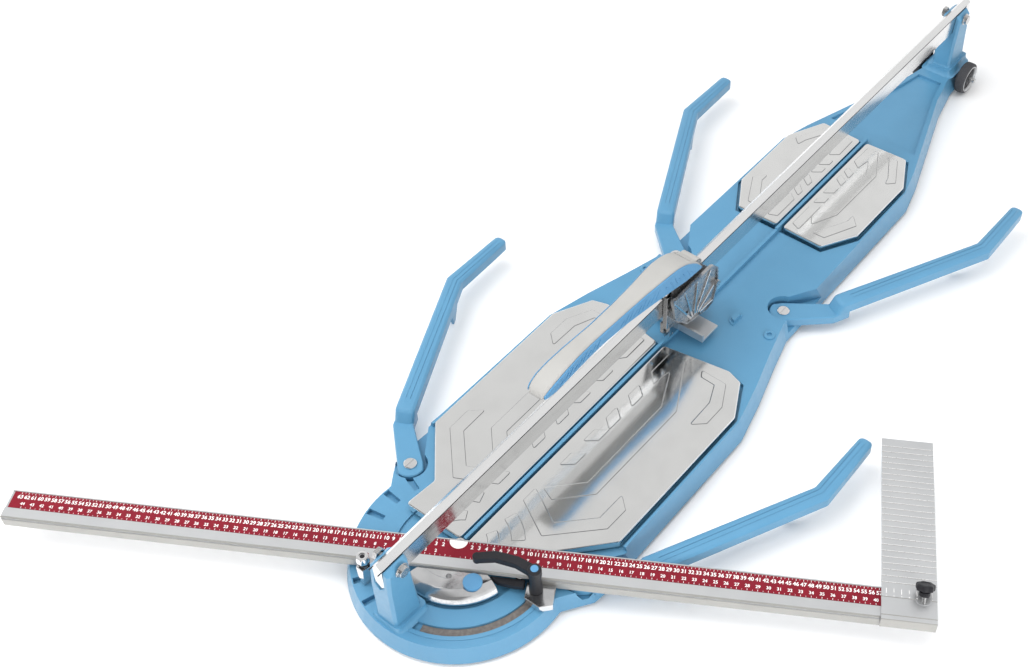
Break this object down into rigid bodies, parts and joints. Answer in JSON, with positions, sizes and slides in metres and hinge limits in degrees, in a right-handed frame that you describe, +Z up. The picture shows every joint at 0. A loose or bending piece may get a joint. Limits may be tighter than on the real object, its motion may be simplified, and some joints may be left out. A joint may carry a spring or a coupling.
{
  "type": "tile cutter",
  "caption": "Manual rail tile cutter: long base with sprung tables, swing-out side arms, swivelling ruler with square stop, and a handled carriage with scoring wheel and breaker foot.",
  "frame": {"origin": "on the floor, under the ruler's pivot pin, at the middle of the front foot pad's underside", "axes": "+Y along the cut away from the operator, +X to the operator's right, +Z up"},
  "size_m": [1.1427, 1.7912, 0.225],
  "materials": {
    "blue_paint": "die casting with satin blue paint",
    "blue_plastic": "satin blue plastic",
    "polished_aluminium": "mirror polished",
    "chrome": "bright chrome",
    "steel": "plain steel",
    "cast_alloy": "polished casting",
    "aluminium": "satin anodised",
    "scale_red": "red strip with white scale",
    "grip_grey": "light warm grey plastic",
    "black_plastic": "black plastic",
    "rubber": "dark rubber",
    "slot_liner": "brown-grey strip"
  },
  "bodies": {
    "base": {"base_casting": "blue_paint", "front_foot_pad": "rubber", "rear_foot_pad": "rubber", "slot_liner": "slot_liner", "pivot_pin": "steel", "rail": "chrome", "front_rail_post": "blue_paint", "rear_rail_post": "blue_paint", "front_post_bolt": "steel", "front_post_nut": "steel", "rear_post_bolt": "steel", "rear_post_nut": "steel", "transport_axle": "steel", "arm_screw_front_left": "chrome", "arm_screw_front_right": "chrome", "arm_screw_rear_left": "chrome", "arm_screw_rear_right": "chrome", "table_spring_front_left": "steel", "table_spring_front_right": "steel", "table_spring_rear_left": "steel", "table_spring_rear_right": "steel"},
    "ruler": {"ruler_extrusion": "aluminium", "ruler_bar_left": "aluminium", "ruler_bar_right": "aluminium", "scale_strip": "scale_red", "sector_plate": "cast_alloy", "index_bracket": "chrome", "clamp_block": "chrome", "clamp_stud": "steel", "lever_guard": "black_plastic"},
    "square": {"square_stop": "aluminium"},
    "knob": {"square_knob": "black_plastic"},
    "button": {"release_button": "blue_plastic"},
    "plunger": {"index_plunger": "chrome"},
    "lever": {"clamp_lever": "black_plastic"},
    "carriage": {"carriage_body": "cast_alloy", "handle_pin": "steel", "foot_pin": "steel", "adjusting_screw": "steel", "wheel_holder": "steel", "scoring_axle": "steel"},
    "handle": {"handle_grip": "grip_grey", "handle_panel_left": "blue_plastic", "handle_panel_right": "blue_plastic"},
    "scorer": {"scoring_wheel": "steel"},
    "foot": {"breaker_foot": "cast_alloy"},
    "wheel_left": {"transport_wheel_left": "rubber"},
    "wheel_right": {"transport_wheel_right": "rubber"},
    "roller_top_front": {"roller_top_front": "steel"},
    "roller_top_rear": {"roller_top_rear": "steel"},
    "roller_bottom_front": {"roller_bottom_front": "steel"},
    "roller_bottom_rear": {"roller_bottom_rear": "steel"},
    "arm_front_left": {"arm_front_left": "blue_paint"},
    "table_front_left": {"table_front_left": "polished_aluminium"},
    "arm_front_right": {"arm_front_right": "blue_paint"},
    "table_front_right": {"table_front_right": "polished_aluminium"},
    "arm_rear_left": {"arm_rear_left": "blue_paint"},
    "table_rear_left": {"table_rear_left": "polished_aluminium"},
    "arm_rear_right": {"arm_rear_right": "blue_paint"},
    "table_rear_right": {"table_rear_right": "polished_aluminium"}
  },
  "joints": [
    {"name": "ruler_swivel", "type": "hinge", "parent": "base", "child": "ruler", "pos_m": [0, 0, 0.06], "axis": [0, 0, 1], "range_deg": [-60, 0]},
    {"name": "square_slide", "type": "slide", "parent": "ruler", "child": "square", "axis": [0.866, 0.5, 0], "range_m": [-0.36, 0]},
    {"name": "square_knob_turn", "type": "hinge", "parent": "square", "child": "knob", "pos_m": [0.55325, 0.29575, 0.064], "axis": [-0.3078, 0.5332, 0.788], "range_deg": [0, 180]},
    {"name": "button_press", "type": "slide", "parent": "ruler", "child": "button", "axis": [0, 0, 1], "range_m": [-0.0022, 0], "stiffness_N_per_m": 60, "springref_m": 0.005},
    {"name": "plunger_press", "type": "slide", "parent": "ruler", "child": "plunger", "axis": [0, 0, 1], "range_m": [-0.006, 0], "stiffness_N_per_m": 300, "springref_m": 0.005},
    {"name": "lever_turn", "type": "hinge", "parent": "ruler", "child": "lever", "pos_m": [0.12911, 0.00838, 0.09], "axis": [0, 0, 1], "range_deg": [0, 100]},
    {"name": "carriage_slide", "type": "slide", "parent": "base", "child": "carriage", "axis": [0, 1, 0], "range_m": [-0.43, 0.74]},
    {"name": "handle_lift", "type": "hinge", "parent": "carriage", "child": "handle", "pos_m": [0, 0.515, 0.179], "axis": [-1, 0, 0], "range_deg": [0, 48]},
    {"name": "scorer_spin", "type": "hinge", "parent": "carriage", "child": "scorer", "pos_m": [0, 0.484, 0.066], "axis": [1, 0, 0], "continuous": true},
    {"name": "foot_tilt", "type": "hinge", "parent": "carriage", "child": "foot", "pos_m": [0, 0.53, 0.078], "axis": [1, 0, 0], "range_deg": [-6, 6], "stiffness_Nm_per_rad": 1.5},
    {"name": "roller_top_front_spin", "type": "hinge", "parent": "carriage", "child": "roller_top_front", "pos_m": [0, 0.497, 0.1751], "axis": [1, 0, 0], "continuous": true},
    {"name": "roller_top_rear_spin", "type": "hinge", "parent": "carriage", "child": "roller_top_rear", "pos_m": [0, 0.533, 0.1751], "axis": [1, 0, 0], "continuous": true},
    {"name": "roller_bottom_front_spin", "type": "hinge", "parent": "carriage", "child": "roller_bottom_front", "pos_m": [0, 0.497, 0.1109], "axis": [1, 0, 0], "continuous": true},
    {"name": "roller_bottom_rear_spin", "type": "hinge", "parent": "carriage", "child": "roller_bottom_rear", "pos_m": [0, 0.533, 0.1109], "axis": [1, 0, 0], "continuous": true},
    {"name": "wheel_left_spin", "type": "hinge", "parent": "base", "child": "wheel_left", "pos_m": [0, 1.383, 0.031], "axis": [1, 0, 0], "continuous": true},
    {"name": "wheel_right_spin", "type": "hinge", "parent": "base", "child": "wheel_right", "pos_m": [0, 1.383, 0.031], "axis": [1, 0, 0], "continuous": true},
    {"name": "arm_front_left_swing", "type": "hinge", "parent": "base", "child": "arm_front_left", "pos_m": [-0.1584, 0.0663, 0.034], "axis": [0, 0, 1], "range_deg": [-14, 0]},
    {"name": "table_front_left_sink", "type": "slide", "parent": "base", "child": "table_front_left", "axis": [0, 0, 1], "range_m": [-0.003, 0], "stiffness_N_per_m": 3000, "springref_m": 0.006, "deforming": ["table_spring_front_left"]},
    {"name": "arm_front_right_swing", "type": "hinge", "parent": "base", "child": "arm_front_right", "pos_m": [0.1584, 0.0663, 0.034], "axis": [0, 0, 1], "range_deg": [0, 14]},
    {"name": "table_front_right_sink", "type": "slide", "parent": "base", "child": "table_front_right", "axis": [0, 0, 1], "range_m": [-0.003, 0], "stiffness_N_per_m": 3000, "springref_m": 0.006, "deforming": ["table_spring_front_right"]},
    {"name": "arm_rear_left_swing", "type": "hinge", "parent": "base", "child": "arm_rear_left", "pos_m": [-0.106, 0.655, 0.034], "axis": [0, 0, 1], "range_deg": [-19, 44]},
    {"name": "table_rear_left_sink", "type": "slide", "parent": "base", "child": "table_rear_left", "axis": [0, 0, 1], "range_m": [-0.003, 0], "stiffness_N_per_m": 2000, "springref_m": 0.006, "deforming": ["table_spring_rear_left"]},
    {"name": "arm_rear_right_swing", "type": "hinge", "parent": "base", "child": "arm_rear_right", "pos_m": [0.106, 0.655, 0.034], "axis": [0, 0, 1], "range_deg": [-44, 19]},
    {"name": "table_rear_right_sink", "type": "slide", "parent": "base", "child": "table_rear_right", "axis": [0, 0, 1], "range_m": [-0.003, 0], "stiffness_N_per_m": 2000, "springref_m": 0.006, "deforming": ["table_spring_rear_right"]}
  ]
}
